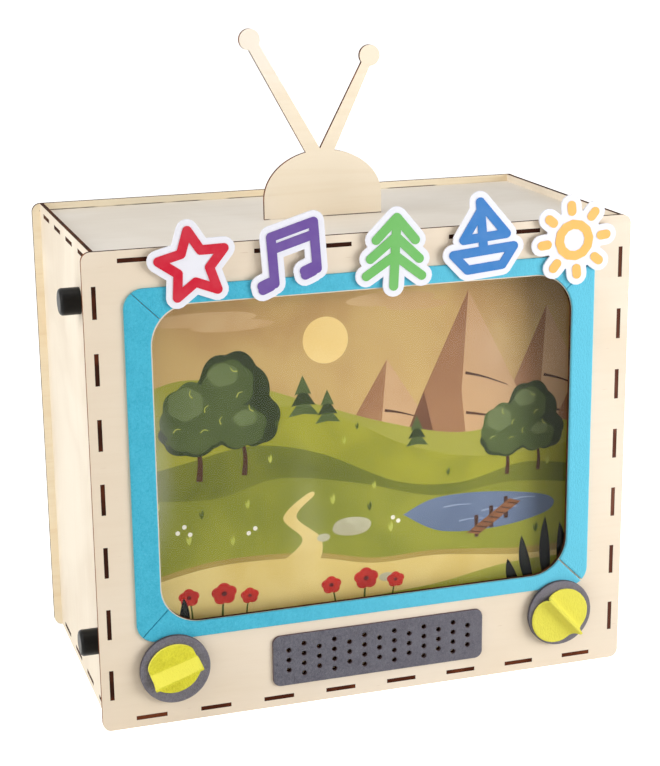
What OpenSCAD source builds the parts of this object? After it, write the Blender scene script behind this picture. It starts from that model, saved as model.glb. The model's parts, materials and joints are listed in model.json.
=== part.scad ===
// Toy television with a scrolling picture: a slotted plywood cabinet with two
// paper rollers behind a window, felt trim, turning dials and a rabbit-ear antenna.
// X runs across the front, Y from front to back, and Z up from the surface it stands on.

/* [Cabinet] */
// Width of the front and back panels
body_w = 400; // [370:5:460]
// Height of the front and back panels
body_h = 344; // [336:2:400]
// Depth from the front panel's face to the back panel's face
body_d = 208; // [160:4:260]
// Thickness of the plywood
ply_t = 3; // [2.5:0.1:4]
// Corner radius of the front and back panels
corner_r = 6.5; // [3:0.5:10]
// How far the front and back panels stand out past the side panels
side_rim = 6; // [5:0.5:8]
// How far the top and bottom panels lie inside the ends of the front panel
end_rim = 5.5; // [4.5:0.5:7]

/* [Finger joints] */
// Number of tabs up each side of the front panel
tabs_up = 7; // [5:1:8]
// Number of tabs along the top and the bottom of the front panel
tabs_across = 8; // [6:1:9]
// Number of tabs along the top and the bottom of a side panel
tabs_deep = 4; // [3:1:4]
// Length of the tabs in the front and back panels
tab_len = 22.3; // [16:0.1:26]
// Length of the tabs in the side panels
deep_tab_len = 25.4; // [16:0.1:28]
// Clearance on each side of a tab in its slot
joint_gap = 0.05; // [0.02:0.01:0.15]
// How far the end of a tab lies below the face it comes through
tab_short = 0.3; // [0.1:0.1:0.8]

/* [Window] */
// Width of the window opening
window_w = 309; // [260:1:312]
// Height of the window opening
window_h = 229; // [180:1:230]
// Corner radius of the window opening
window_r = 28; // [12:1:40]
// Height of the window's lower edge above the base
sill_h = 75; // [72:1:78]
// Thickness of the clear sheet behind the window
sheet_t = 0.8; // [0.4:0.1:1.5]
// How far the clear sheet laps behind the panel on each side
sheet_lap = 8; // [4:0.5:9]

/* [Felt trim] */
// Thickness of the felt
felt_t = 2; // [1:0.1:3]
// Width of the felt strip left of the window
felt_left_w = 17.7; // [12:0.1:20]
// Width of the felt strip right of the window
felt_right_w = 17.2; // [12:0.1:20]
// Width of the felt strip above the window
felt_top_w = 12.3; // [8:0.1:14]
// Width of the felt strip below the window
felt_sill_w = 11.3; // [8:0.1:12]
// How far the felt stays back from the window's left and upper edges
felt_setback = 1; // [0.5:0.1:2]
// How far the felt stays back from the window's right and lower edges
felt_near = 0.1; // [0.1:0.1:2]
// Outer corner radius of the felt frame
felt_r = 14; // [4:0.5:16]
// Width of the cut between two felt strips
mitre_gap = 0.3; // [0.1:0.1:1]
// Width of the cut at the lower right, where the strips don't quite meet
loose_mitre_gap = 1.2; // [0.1:0.1:2]

/* [Speaker] */
// Width of the speaker felt
speaker_w = 162.4; // [155:0.2:180]
// Height of the speaker felt
speaker_h = 39; // [34:0.5:41]
// Corner radius of the speaker felt
speaker_r = 6; // [3:0.5:10]
// Offset of the speaker to the right of the middle
speaker_x = 6; // [-8:0.5:8]
// Height of the speaker's centre above the base
speaker_z = 35.6; // [33:0.2:37]
// Diameter of the speaker holes
hole_d = 3.5; // [2:0.1:4]
// Number of columns of speaker holes
hole_cols = 13; // [9:2:13]
// Distance between two columns of holes
hole_col_pitch = 11.55; // [8:0.05:12]
// Distance between two holes in a column
hole_row_pitch = 7.7; // [5:0.1:8]

/* [Dials] */
// Diameter of a dial disc
dial_d = 51; // [46:0.5:54]
// Thickness of a dial disc
dial_t = 3; // [2:0.1:4]
// Gap between a dial disc and the felt frame that it laps over
dial_clear = 0.4; // [0.3:0.1:0.8]
// Distance of the left dial's axis from the panel's left edge
left_dial_in = 52.4; // [46:0.2:56]
// Height of the left dial's axis
left_dial_z = 42.6; // [38:0.2:46]
// Distance of the right dial's axis from the panel's right edge
right_dial_in = 51.4; // [46:0.2:56]
// Height of the right dial's axis
right_dial_z = 44.5; // [38:0.2:46]
// Thickness of a felt grip
grip_t = 2; // [1.2:0.1:3]
// Height of the ridge pinched up across a grip
ridge_h = 7; // [5:0.5:12]
// Half width of the ridge at half its height
ridge_half = 2.4; // [1.6:0.1:4]
// Radius of the round edge of the left grip's two halves
left_grip_r = 21.2; // [18:0.2:22]
// Length of the left grip's ridge
left_ridge_len = 37.4; // [28:0.2:42]
// Radius of the round edge of the right grip's two halves
right_grip_r = 19.2; // [16:0.2:20]
// Length of the right grip's ridge
right_ridge_len = 40.6; // [28:0.2:44]
// Diameter of a dial pin
pin_d = 4; // [3:0.1:5]
// Running clearance round a pin or a dowel
bearing_gap = 0.05; // [0.02:0.01:0.09]
// End play of a dial or of a roller
end_play = 0.3; // [0.2:0.05:0.5]

/* [Rollers] */
// Distance of the upper roller's axis behind the front face
upper_y = 46; // [40:0.5:52]
// Distance of the upper roller's axis below the top of the panel
upper_drop = 42; // [32:0.5:46]
// Distance of the lower roller's axis behind the front face
lower_y = 32; // [28:0.5:40]
// Height of the lower roller's axis
lower_z = 56; // [40:0.5:60]
// Diameter of the roller dowels
dowel_d = 12; // [8:0.5:14]
// Outer diameter of the paper wound on the upper roller
upper_roll_d = 22; // [18:0.5:34]
// Outer diameter of the paper wound on the lower roller
lower_roll_d = 22; // [18:0.5:34]
// Width of the picture paper
paper_w = 344; // [330:1:350]
// Thickness of the picture paper between the rollers
paper_t = 0.25; // [0.15:0.05:0.8]
// Gap between the hanging paper and the rolls
paper_gap = 0.3; // [0.2:0.05:0.5]
// Diameter of a roller cap
cap_d = 19; // [17:0.5:24]
// Length of a roller cap
cap_len = 14.4; // [10:0.2:20]
// Thickness of a roller cap's end wall
cap_end = 3; // [2:0.1:5]
// Rounding of a roller cap's outer end
cap_round = 2.6; // [1:0.1:4]

/* [Antenna] */
// Width of the antenna's dome
dome_w = 90.6; // [70:0.2:110]
// Height of the dome's straight sides
dome_side = 14.5; // [8:0.5:24]
// Height of the dome's arch above its straight sides
dome_rise = 35; // [24:0.5:45]
// Left ball's centre, to the left of the middle
left_ball_x = 53.7; // [40:0.1:60]
// Left ball's centre above the top panel
left_ball_z = 130.9; // [110:0.1:150]
// Right ball's centre, to the right of the middle
right_ball_x = 36.8; // [30:0.1:50]
// Right ball's centre above the top panel
right_ball_z = 116.4; // [100:0.1:140]
// Diameter of the balls
ball_d = 15.4; // [12:0.2:20]
// Width of an arm where it leaves the dome
arm_root_w = 11; // [8:0.1:13]
// Width of the left arm at its ball
left_arm_w = 8.3; // [5:0.1:10]
// Width of the right arm at its ball
right_arm_w = 6.6; // [5:0.1:10]
// Length of the two tabs under the dome
foot_len = 20; // [12:0.5:30]

/* [Badges] */
// Size of a badge's symbol, across its strokes
symbol_size = 48; // [40:0.5:52]
// Width of the coloured strokes
stroke_w = 6.6; // [4:0.2:7.4]
// Width of the white border round the strokes
border_w = 4.4; // [2:0.1:5]
// Thickness of a badge's white card
card_t = 1.6; // [1:0.1:3]
// How far the coloured strokes stand out of the card
relief_t = 0.5; // [0.2:0.1:1]
// Gap between the badges and the felt frame that they lap over
badge_clear = 0.6; // [0.3:0.1:1]
// Diameter of the foam pads behind the badges
pad_d = 9; // [6:0.5:12]
// Height of the foam pads above the felt frame
pad_rise = 13.4; // [8:0.1:18]
// Middle of the star badge, to the left of the middle
star_left = 125.5; // [115:0.5:135]
// Height of the star badge above the felt frame
star_rise = 13.7; // [10:0.1:20]
// Middle of the notes badge, to the left of the middle
notes_left = 58; // [50:0.5:66]
// Height of the notes badge above the felt frame
notes_rise = 12.7; // [10:0.1:20]
// Middle of the tree badge, to the right of the middle
tree_right = 18; // [10:0.5:26]
// Height of the tree badge above the felt frame
tree_rise = 12.7; // [10:0.1:20]
// Middle of the boat badge, to the right of the middle
boat_right = 83; // [76:0.5:90]
// Height of the boat badge above the felt frame
boat_rise = 19.7; // [14:0.1:24]
// Middle of the sun badge, to the right of the middle
sun_right = 153.5; // [146:0.5:162]
// Height of the sun badge above the felt frame
sun_rise = 11.7; // [8:0.1:18]

/* [Hidden] */
$fn = 48;

// Colours
WOOD = "#F3E2C6";
FELT_BLUE = "#48BEDC";
FELT_GREY = "#76737C";
FELT_YELLOW = "#EBE13C";
RUBBER = "#262422";
PAPER = "#A9A24A";
CARD = "#F7F6FA";
STEEL = "#B9BCC0";
CLEAR = "#DDE6EA";

// The felt grips stand out furthest in front, so they set where the middle of the depth is.
dial_off = felt_t + dial_clear;
grip_face = dial_off + dial_t;
reach = grip_face + grip_t + ridge_h;
front_y = (reach - body_d) / 2;
inner_y = front_y + ply_t;
back_y = front_y + body_d - ply_t;
inner_d = back_y - inner_y;
mid_y = (inner_y + back_y) / 2;

// Faces of the side, top and bottom panels
side_x = body_w / 2 - side_rim;
side_in = side_x - ply_t;
top_z = body_h - end_rim;

// Joints: slots are set out from the middle of each edge, and each edge holds a part of a pitch more.
end_spare = 0.5;
deep_spare = 0.35;
pitch_up = body_h / (tabs_up + end_spare);
pitch_across = body_w / (tabs_across + end_spare);
pitch_deep = body_d / (tabs_deep + deep_spare);
function spots(n, pitch) = [for (i = [0 : n - 1]) (i - (n - 1) / 2) * pitch];
up_spots = [for (s = spots(tabs_up, pitch_up)) body_h / 2 + s];
across_spots = spots(tabs_across, pitch_across);
deep_spots = [for (s = spots(tabs_deep, pitch_deep)) mid_y + s];

// Window
window_z = sill_h + window_h / 2;
felt_x0 = -window_w / 2 - felt_setback - felt_left_w;
felt_x1 = window_w / 2 + felt_near + felt_right_w;
felt_z0 = sill_h - felt_near - felt_sill_w;
felt_z1 = sill_h + window_h + felt_setback + felt_top_w;

// Dials
left_dial_x = -body_w / 2 + left_dial_in;
right_dial_x = body_w / 2 - right_dial_in;
left_ridge_angle = 19.7;
right_ridge_angle = -48.7;
left_ridge_lean = 6.7;
right_ridge_lean = -1.4;
left_grip_shift = [-1, 1.2];
right_grip_shift = [0.4, -1.6];
pin_head_brim = 2.5;
pin_head_d = pin_d + 2 * pin_head_brim;
pin_head_t = 1.2;
clip_brim = 3;
clip_d = pin_d + 2 * clip_brim;
clip_t = 1.2;
washer_brim = 4;
washer_d = pin_d + 2 * washer_brim;
washer_t = dial_off - end_play;

// Rollers, and the lean of the paper that hangs from the front of one roll to the other
upper_axis_y = front_y + upper_y;
upper_axis_z = body_h - upper_drop;
lower_axis_y = front_y + lower_y;
lower_axis_z = lower_z;
upper_r = upper_roll_d / 2;
lower_r = lower_roll_d / 2;
axis_gap = norm([upper_axis_y - lower_axis_y, upper_axis_z - lower_axis_z]);
paper_lean = atan2(upper_axis_y - lower_axis_y, upper_axis_z - lower_axis_z)
  - asin((upper_r - lower_r) / axis_gap);
paper_run = sqrt(axis_gap * axis_gap - (upper_r - lower_r) * (upper_r - lower_r));
cap_x = side_x + end_play;
dowel_len = 2 * (cap_x + cap_len - cap_end);

// Antenna: the arms run from a root inside the dome to the balls.
root_rise = 26;
root_z = dome_side + root_rise;
left_root_x = -2.6;
right_root_x = -1;
foot_spread = 44;

// Badges: the middle of each one, and how far to each side its two foam pads lie, in half sizes
badge_y = front_y - felt_t - badge_clear;
symbol_r = symbol_size / 2;
star_at = [-star_left, felt_z1 + star_rise];
notes_at = [-notes_left, felt_z1 + notes_rise];
tree_at = [tree_right, felt_z1 + tree_rise];
boat_at = [boat_right, felt_z1 + boat_rise];
sun_at = [sun_right, felt_z1 + sun_rise];
pad_sides = [-0.48, 0.48];
notes_pad_sides = [-0.5, 0.72];

// Flat outlines

module round_rect(w, h, r) {
  square([w - 2 * r, h], center = true);
  square([w, h - 2 * r], center = true);
  for (x = [-1, 1], y = [-1, 1])
    translate([x * (w / 2 - r), y * (h / 2 - r)]) circle(r);
}

// A stroke with round ends
module stroke(a, b, w) hull() {
  translate(a) circle(w / 2, $fn = 16);
  translate(b) circle(w / 2, $fn = 16);
}

// A straight cut from point a to point b
module cut(a, b, w) {
  d = b - a;
  translate(a) rotate(atan2(d[1], d[0])) translate([0, -w / 2]) square([norm(d), w]);
}

// Plates: the outline's second axis is Z on facing and side plates.
module facing(y, t) translate([0, y + t, 0]) rotate([90, 0, 0]) linear_extrude(t) children();
module sideways(x, t) translate([x, 0, 0]) rotate([90, 0, 90]) linear_extrude(t) children();
module level(z, t) translate([0, 0, z]) linear_extrude(t) children();

slot_t = ply_t + 2 * joint_gap;
slot_len = tab_len + 2 * joint_gap;
deep_slot_len = deep_tab_len + 2 * joint_gap;

// Outline of the front and back panels with the slots of the four panels between them
module end_outline() {
  difference() {
    translate([0, body_h / 2]) round_rect(body_w, body_h, corner_r);
    for (z = up_spots, x = [-1, 1])
      translate([x * (side_x - ply_t / 2), z]) square([slot_t, slot_len], center = true);
    for (x = across_spots, z = [end_rim + ply_t / 2, top_z - ply_t / 2])
      translate([x, z]) square([slot_len, slot_t], center = true);
  }
}

module speaker_holes() {
  for (c = [0 : hole_cols - 1])
    let (rows = c % 2 == 0 ? 3 : 4)
      for (r = [0 : rows - 1])
        translate([
          speaker_x + (c - (hole_cols - 1) / 2) * hole_col_pitch,
          speaker_z + (r - (rows - 1) / 2) * hole_row_pitch
        ]) circle(hole_d / 2, $fn = 20);
}

module dial_spots() {
  translate([left_dial_x, left_dial_z]) children();
  translate([right_dial_x, right_dial_z]) children();
}

// Cabinet panels

module front_panel() {
  color(WOOD) facing(front_y, ply_t) difference() {
    end_outline();
    translate([0, window_z]) round_rect(window_w, window_h, window_r);
    speaker_holes();
    dial_spots() circle(pin_d / 2 + bearing_gap);
  }
}

module back_panel() {
  color(WOOD) facing(back_y, ply_t) end_outline();
}

// Side panel: tabs into the front and back panels, slots for the top and bottom panels
module side_plate(x) {
  color(WOOD) sideways(x, ply_t) difference() {
    union() {
      translate([inner_y, 0]) square([inner_d, body_h]);
      for (z = up_spots)
        translate([mid_y, z]) square([body_d - 2 * tab_short, tab_len], center = true);
    }
    for (y = deep_spots, z = [end_rim + ply_t / 2, top_z - ply_t / 2])
      translate([y, z]) square([deep_slot_len, slot_t], center = true);
    translate([upper_axis_y, upper_axis_z]) circle(dowel_d / 2 + bearing_gap);
    translate([lower_axis_y, lower_axis_z]) circle(dowel_d / 2 + bearing_gap);
  }
}

module left_side_panel() { side_plate(-side_x); }
module right_side_panel() { side_plate(side_in); }

// Outline of the top and bottom panels with their tabs on all four edges
module level_outline() {
  translate([0, mid_y]) square([2 * side_in, inner_d], center = true);
  for (x = across_spots)
    translate([x, mid_y]) square([tab_len, body_d - 2 * tab_short], center = true);
  for (y = deep_spots)
    translate([0, y]) square([2 * (side_x - tab_short), deep_tab_len], center = true);
}

module top_panel() {
  color(WOOD) level(top_z - ply_t, ply_t) difference() {
    level_outline();
    for (x = [-1, 1])
      translate([x * foot_spread / 2, mid_y])
        square([foot_len + 2 * joint_gap, slot_t], center = true);
  }
}

module bottom_panel() {
  color(WOOD) level(end_rim, ply_t) level_outline();
}

// Antenna: a dome with two tapered arms and round ends, cut from one sheet

module arm(root, ball, ball_w) {
  d = (ball - root) / norm(ball - root);
  n = [-d[1], d[0]];
  polygon([
    root + n * arm_root_w / 2, root - n * arm_root_w / 2,
    ball - n * ball_w / 2, ball + n * ball_w / 2
  ]);
  translate(ball) circle(ball_d / 2);
}

module arch(w, rise, n = 40) {
  polygon([for (i = [0 : n]) [w / 2 * cos(180 * i / n), rise * sin(180 * i / n)]]);
}

module antenna() {
  color(WOOD) facing(mid_y - ply_t / 2, ply_t) translate([0, top_z]) {
    translate([-dome_w / 2, 0]) square([dome_w, dome_side]);
    translate([0, dome_side]) arch(dome_w, dome_rise);
    arm([left_root_x, root_z], [-left_ball_x, left_ball_z], left_arm_w);
    arm([right_root_x, root_z], [right_ball_x, right_ball_z], right_arm_w);
    for (x = [-1, 1])
      translate([x * foot_spread / 2 - foot_len / 2, -ply_t]) square([foot_len, ply_t]);
  }
}

// Window sheet, hanging picture paper and rollers

module window_sheet() {
  color(CLEAR, 0.35) facing(inner_y, sheet_t) translate([0, window_z])
    square([window_w + 2 * sheet_lap, window_h + 2 * sheet_lap], center = true);
}

module story_scroll() {
  color(PAPER)
    translate([0, upper_axis_y, upper_axis_z]) rotate([-paper_lean, 0, 0])
      translate([-paper_w / 2, -upper_r - paper_gap - paper_t, -paper_run])
        cube([paper_w, paper_t, paper_run]);
}

module along_x(y, z) translate([0, y, z]) rotate([0, 90, 0]) children();

module dowel() { color(WOOD) cylinder(h = dowel_len, d = dowel_d, center = true); }

module paper_roll(d) {
  color(PAPER) difference() {
    cylinder(h = paper_w, d = d, center = true);
    cylinder(h = paper_w + 2, d = dowel_d, center = true);
  }
}

// Rubber cap: a blind bore on the dowel's end and a rounded outer end
module cap() {
  r = cap_d / 2;
  color(RUBBER) rotate_extrude() difference() {
    union() {
      square([r, cap_len - cap_round]);
      square([r - cap_round, cap_len]);
      translate([r - cap_round, cap_len - cap_round]) circle(cap_round, $fn = 32);
    }
    translate([-1, -1]) square([dowel_d / 2 + 1, cap_len - cap_end + 1]);
    translate([-cap_d, -cap_d]) square([cap_d, 3 * cap_d]);
  }
}

module left_cap(y, z) along_x(y, z) translate([0, 0, -cap_x]) mirror([0, 0, 1]) cap();
module right_cap(y, z) along_x(y, z) translate([0, 0, cap_x]) cap();

module upper_dowel() { along_x(upper_axis_y, upper_axis_z) dowel(); }
module upper_paper_roll() { along_x(upper_axis_y, upper_axis_z) paper_roll(upper_roll_d); }
module upper_left_cap() { left_cap(upper_axis_y, upper_axis_z); }
module upper_right_cap() { right_cap(upper_axis_y, upper_axis_z); }
module lower_dowel() { along_x(lower_axis_y, lower_axis_z) dowel(); }
module lower_paper_roll() { along_x(lower_axis_y, lower_axis_z) paper_roll(lower_roll_d); }
module lower_left_cap() { left_cap(lower_axis_y, lower_axis_z); }
module lower_right_cap() { right_cap(lower_axis_y, lower_axis_z); }

// Felt frame in four mitred strips, and the speaker felt

module felt_ring() {
  both = felt_setback + felt_near;
  difference() {
    translate([(felt_x0 + felt_x1) / 2, (felt_z0 + felt_z1) / 2])
      round_rect(felt_x1 - felt_x0, felt_z1 - felt_z0, felt_r);
    translate([(felt_near - felt_setback) / 2, window_z + (felt_setback - felt_near) / 2])
      round_rect(window_w + both, window_h + both, window_r + felt_near);
  }
}

// Outer corners of the felt, where its straight edges would cross
felt_out = [[felt_x0, felt_z0], [felt_x1, felt_z0], [felt_x1, felt_z1], [felt_x0, felt_z1]];

// Mitres run at 45 degrees past the outer corners, at these distances to their right.
mitre_shift = [-0.5, -0.6, 2.1, 2.5];
mitre_over = 8;
mitre_reach = window_r + max(felt_left_w, felt_right_w, felt_top_w, felt_sill_w);
function mitre_way(i) = [i == 1 || i == 2 ? -1 : 1, i < 2 ? 1 : -1];
function mitre_at(i, d) = felt_out[i] + [mitre_shift[i], 0] + d * mitre_way(i);
function mitre_from(i) = mitre_at(i, -mitre_over);
function mitre_to(i) = mitre_at(i, mitre_reach);

// Strip between corner a and the next corner round the frame
module felt_strip(a) {
  b = (a + 1) % 4;
  color(FELT_BLUE) facing(front_y - felt_t, felt_t) difference() {
    intersection() {
      felt_ring();
      polygon([mitre_from(a), mitre_from(b), mitre_to(b), mitre_to(a)]);
    }
    for (i = [a, b]) cut(mitre_from(i), mitre_to(i), i == 1 ? loose_mitre_gap : mitre_gap);
  }
}

module felt_frame_bottom() { felt_strip(0); }
module felt_frame_right() { felt_strip(1); }
module felt_frame_top() { felt_strip(2); }
module felt_frame_left() { felt_strip(3); }

module speaker_felt() {
  color(FELT_GREY) facing(front_y - felt_t, felt_t) difference() {
    translate([speaker_x, speaker_z]) round_rect(speaker_w, speaker_h, speaker_r);
    speaker_holes();
  }
}

// Dials: a felt disc on a pin through the panel, with a felt grip on its face

module at_dial(x, z, y) translate([x, front_y + y, z]) rotate([90, 0, 0]) children();

module dial_washers() {
  color(STEEL) facing(front_y - washer_t, washer_t) dial_spots() difference() {
    circle(washer_d / 2);
    circle(pin_d / 2 + bearing_gap);
  }
}

module dial_disc() {
  color(FELT_GREY) difference() {
    cylinder(h = dial_t, d = dial_d, $fn = 72);
    translate([0, 0, -1]) cylinder(h = dial_t + 2, d = pin_d);
    translate([0, 0, dial_t - pin_head_t]) cylinder(h = pin_head_t + 1, d = pin_head_d);
  }
}

// Pin from the head in the disc's face to its end behind the clip
pin_len = grip_face + ply_t + end_play + clip_t;
module dial_pin() {
  color(STEEL) {
    cylinder(h = pin_len, d = pin_d);
    cylinder(h = pin_head_t, d = pin_head_d);
  }
}

module dial_clip() {
  color(STEEL) difference() {
    cylinder(h = clip_t, d = clip_d);
    translate([0, 0, -1]) cylinder(h = clip_t + 2, d = pin_d);
  }
}

// Felt grip: a round of felt pinched up along its middle, so that its edge is an arc on each side of
// the ridge, and the ridge's crest is longer than its foot. The grid's rows run across the ridge.
// r is the radius of the arcs, and part how far beyond the ridge their centres lie.
grip_rows = 34;
grip_cols = 8;
row_ease = 0.4;
edge_sweep = 86;
pinch = 0.8;
left_grip_part = -3;
right_grip_part = 3;
function ridge(u) = 1 / (1 + pow(u / ridge_half, 2));
function foot(u, r, part, len) = min(sqrt(r * r - pow(abs(u) - part, 2)), len / 2 - pinch);
function grip_u(i, r, part) = let (
    t = 2 * i / grip_rows - 1,
    a = asin(-part / r),
    turn = (edge_sweep - a) * (row_ease * abs(t) + (1 - row_ease) * t * t)
  ) sign(t) * (part + r * sin(a + turn));

module grip(r, part, len, lean) {
  rows = grip_rows;
  cols = grip_cols;
  w = cols + 1;
  n = w * (rows + 1);
  crest_out = len / 2 - foot(0, r, part, len);
  us = [for (i = [0 : rows]) grip_u(i, r, part)];
  vs = [for (j = [0 : cols]) 2 * j / cols - 1];
  points = concat(
    [for (u = us, v = vs)
      let (h = ridge(u)) [v * (foot(u, r, part, len) + crest_out * h), u - lean * h, grip_t + ridge_h * h]],
    [for (u = us, v = vs) [v * foot(u, r, part, len), u, 0]]
  );
  faces = concat(
    [for (i = [0 : rows - 1], j = [0 : cols - 1]) each [
      [i * w + j, (i + 1) * w + j, i * w + j + 1],
      [i * w + j + 1, (i + 1) * w + j, (i + 1) * w + j + 1],
      [n + i * w + j, n + i * w + j + 1, n + (i + 1) * w + j],
      [n + i * w + j + 1, n + (i + 1) * w + j + 1, n + (i + 1) * w + j]
    ]],
    [for (i = [0 : rows - 1]) each [
      [i * w, n + i * w, (i + 1) * w],
      [n + i * w, n + (i + 1) * w, (i + 1) * w],
      [i * w + cols, (i + 1) * w + cols, n + i * w + cols],
      [n + i * w + cols, (i + 1) * w + cols, n + (i + 1) * w + cols]
    ]],
    [for (j = [0 : cols - 1]) each [
      [j, j + 1, n + j],
      [j + 1, n + j + 1, n + j],
      [rows * w + j, n + rows * w + j, rows * w + j + 1],
      [rows * w + j + 1, n + rows * w + j, n + rows * w + j + 1]
    ]]
  );
  color(FELT_YELLOW) polyhedron(points, faces);
}

module dial_disc_at(x, z) at_dial(x, z, -dial_off) dial_disc();
module dial_grip_at(x, z, shift, angle) at_dial(x, z, -grip_face) translate(shift) rotate(angle) children();
module dial_pin_at(x, z) at_dial(x, z, -grip_face) mirror([0, 0, 1]) dial_pin();
module dial_clip_at(x, z) at_dial(x, z, ply_t + end_play + clip_t) dial_clip();

module left_dial_disc() { dial_disc_at(left_dial_x, left_dial_z); }
module left_dial_pin() { dial_pin_at(left_dial_x, left_dial_z); }
module left_dial_clip() { dial_clip_at(left_dial_x, left_dial_z); }
module left_dial_grip() {
  dial_grip_at(left_dial_x, left_dial_z, left_grip_shift, left_ridge_angle)
    grip(left_grip_r, left_grip_part, left_ridge_len, left_ridge_lean);
}
module right_dial_disc() { dial_disc_at(right_dial_x, right_dial_z); }
module right_dial_pin() { dial_pin_at(right_dial_x, right_dial_z); }
module right_dial_clip() { dial_clip_at(right_dial_x, right_dial_z); }
module right_dial_grip() {
  dial_grip_at(right_dial_x, right_dial_z, right_grip_shift, right_ridge_angle)
    grip(right_grip_r, right_grip_part, right_ridge_len, right_ridge_lean);
}

// Badges: coloured strokes raised on a white card of the same outline, grown by the border.
// A symbol is a list of strokes, in parts of its half size.

star_tip = 1;
star_dip = 0.48;
star_points = [for (i = [0 : 9]) (i % 2 == 0 ? star_tip : star_dip) * [sin(36 * i), cos(36 * i)]];
star_strokes = [for (i = [0 : 9]) [star_points[i], star_points[(i + 1) % 10]]];
notes_strokes = [
  [[-0.5, -0.62], [-0.5, 0.72]], [[-0.5, 0.72], [0.78, 1]], [[0.78, 1], [0.78, -0.36]],
  [[-0.5, 0.36], [0.78, 0.64]],
  [[-0.86, -0.76], [-0.62, -0.68]], [[-0.88, -0.64], [-0.64, -0.56]],
  [[0.42, -0.5], [0.66, -0.42]], [[0.4, -0.38], [0.64, -0.3]]
];
tree_strokes = [
  [[0, 1], [0, -1]], [[0, 1], [-0.6, 0.35]], [[0, 1], [0.6, 0.35]],
  [[0, 0.45], [-0.75, -0.2]], [[0, 0.45], [0.75, -0.2]],
  [[0, -0.1], [-0.85, -0.7]], [[0, -0.1], [0.85, -0.7]]
];
boat_strokes = [
  [[-0.95, -0.45], [0.95, -0.45]], [[-0.95, -0.45], [-0.55, -0.95]], [[0.95, -0.45], [0.55, -0.95]],
  [[-0.55, -0.95], [0.55, -0.95]], [[0, -0.45], [0, 1]], [[0, 1], [0.75, -0.05]],
  [[0.75, -0.05], [0, -0.05]], [[0, 0.75], [-0.6, -0.05]], [[-0.6, -0.05], [0, -0.05]]
];
sun_ring = 0.48;
ring_sides = 12;
rays = 8;
ray_from = 0.87;
ray_to = 1.05;
function spoke(part) = [cos(360 * part), sin(360 * part)];
sun_strokes = concat(
  [for (i = [1 : ring_sides]) sun_ring * [spoke((i - 1) / ring_sides), spoke(i / ring_sides)]],
  [for (i = [1 : rays]) [ray_from * spoke(i / rays), ray_to * spoke(i / rays)]]
);

module symbol(strokes, grow) {
  for (s = strokes) stroke(s[0] * symbol_r, s[1] * symbol_r, stroke_w + 2 * grow);
}

// The card's core, a share of the half size, fills the gaps between the strokes.
module badge(at, tilt, strokes, ink, core = 0) {
  card_y = badge_y - card_t;
  color(CARD) facing(card_y, card_t) translate(at) rotate(tilt) {
    symbol(strokes, border_w);
    if (core > 0) circle(core * symbol_r);
  }
  color(ink) facing(card_y - relief_t, relief_t) translate(at) rotate(tilt) symbol(strokes, 0);
}

module star_badge() { badge(star_at, 8, star_strokes, "#D82342", 0.5); }
module notes_badge() { badge(notes_at, 4, notes_strokes, "#7558A5"); }
module tree_badge() { badge(tree_at, -3, tree_strokes, "#7BC56E", 0.4); }
module boat_badge() { badge(boat_at, 5, boat_strokes, "#468ACD", 0.4); }
module sun_badge() { badge(sun_at, 6, sun_strokes, "#FECA78", 0.9); }

// Foam pads between the badges and the panel
module pads(at, sides) {
  for (side = sides) translate([at[0] + side * symbol_r, felt_z1 + pad_rise]) circle(pad_d / 2);
}

module badge_pads() {
  color(CARD) facing(badge_y, front_y - badge_y) {
    for (at = [star_at, tree_at, boat_at, sun_at]) pads(at, pad_sides);
    pads(notes_at, notes_pad_sides);
  }
}

front_panel();
back_panel();
left_side_panel();
right_side_panel();
top_panel();
bottom_panel();
antenna();
window_sheet();
story_scroll();
upper_dowel();
upper_paper_roll();
upper_left_cap();
upper_right_cap();
lower_dowel();
lower_paper_roll();
lower_left_cap();
lower_right_cap();
felt_frame_left();
felt_frame_right();
felt_frame_top();
felt_frame_bottom();
speaker_felt();
dial_washers();
left_dial_disc();
left_dial_grip();
left_dial_pin();
left_dial_clip();
right_dial_disc();
right_dial_grip();
right_dial_pin();
right_dial_clip();
star_badge();
notes_badge();
tree_badge();
boat_badge();
sun_badge();
badge_pads();
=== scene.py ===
"""Toy television: plywood, felt, printed picture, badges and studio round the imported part."""
import json
import math

import bmesh
import bpy
import numpy as np
from mathutils import Matrix, Vector, geometry, noise

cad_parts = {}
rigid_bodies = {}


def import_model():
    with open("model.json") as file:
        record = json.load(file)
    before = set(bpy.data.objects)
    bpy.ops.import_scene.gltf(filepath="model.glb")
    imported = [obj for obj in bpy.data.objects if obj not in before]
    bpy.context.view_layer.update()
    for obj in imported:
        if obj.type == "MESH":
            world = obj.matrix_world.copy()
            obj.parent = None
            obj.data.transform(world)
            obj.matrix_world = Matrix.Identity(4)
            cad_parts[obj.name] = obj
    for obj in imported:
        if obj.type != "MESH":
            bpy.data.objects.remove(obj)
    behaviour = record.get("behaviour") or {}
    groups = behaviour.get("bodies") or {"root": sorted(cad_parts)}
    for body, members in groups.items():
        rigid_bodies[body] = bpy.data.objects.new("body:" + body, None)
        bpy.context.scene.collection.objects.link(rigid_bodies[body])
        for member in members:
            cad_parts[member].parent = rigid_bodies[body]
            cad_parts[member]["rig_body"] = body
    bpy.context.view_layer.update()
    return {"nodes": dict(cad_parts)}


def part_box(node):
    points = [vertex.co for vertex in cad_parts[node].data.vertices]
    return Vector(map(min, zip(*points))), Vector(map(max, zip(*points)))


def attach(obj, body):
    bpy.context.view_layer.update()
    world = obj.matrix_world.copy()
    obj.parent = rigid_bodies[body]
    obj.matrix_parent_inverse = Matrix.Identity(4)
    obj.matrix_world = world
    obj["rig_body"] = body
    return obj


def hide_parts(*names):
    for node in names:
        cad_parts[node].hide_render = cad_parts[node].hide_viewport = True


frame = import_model()
nodes = frame["nodes"]
MM = 0.001
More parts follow.
